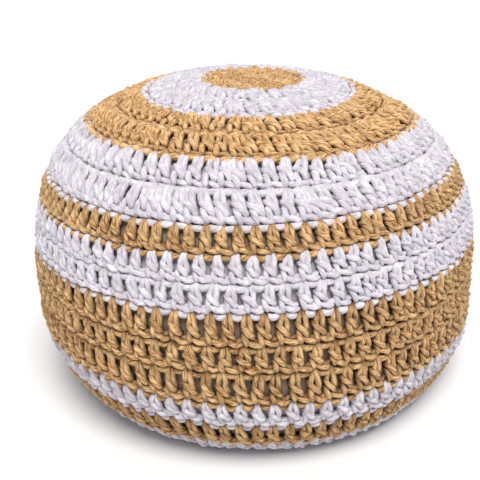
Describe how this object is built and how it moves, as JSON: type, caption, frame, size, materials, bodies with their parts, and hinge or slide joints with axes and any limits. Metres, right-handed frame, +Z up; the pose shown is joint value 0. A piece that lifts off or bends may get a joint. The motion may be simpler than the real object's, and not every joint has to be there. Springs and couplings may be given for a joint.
{
  "type": "crocheted pouf",
  "caption": "Low round footstool of thick cotton cord crocheted in tan and white rounds over a stuffed grey lining bag, flat under its base.",
  "frame": {"origin": "middle of the flat base, on the floor", "axes": "+Z up, out of the centre of the crocheted top; -Y towards the viewer"},
  "size_m": [0.4466, 0.4499, 0.3002],
  "materials": {
    "tan_cotton_cord": "soft matt cotton cord",
    "white_cotton_cord": "soft matt cotton cord",
    "grey_lining": "matt woven cotton"
  },
  "bodies": {
    "root": {"crochet_cover": "tan_cotton_cord", "lining_bag": "grey_lining"}
  },
  "joints": []
}
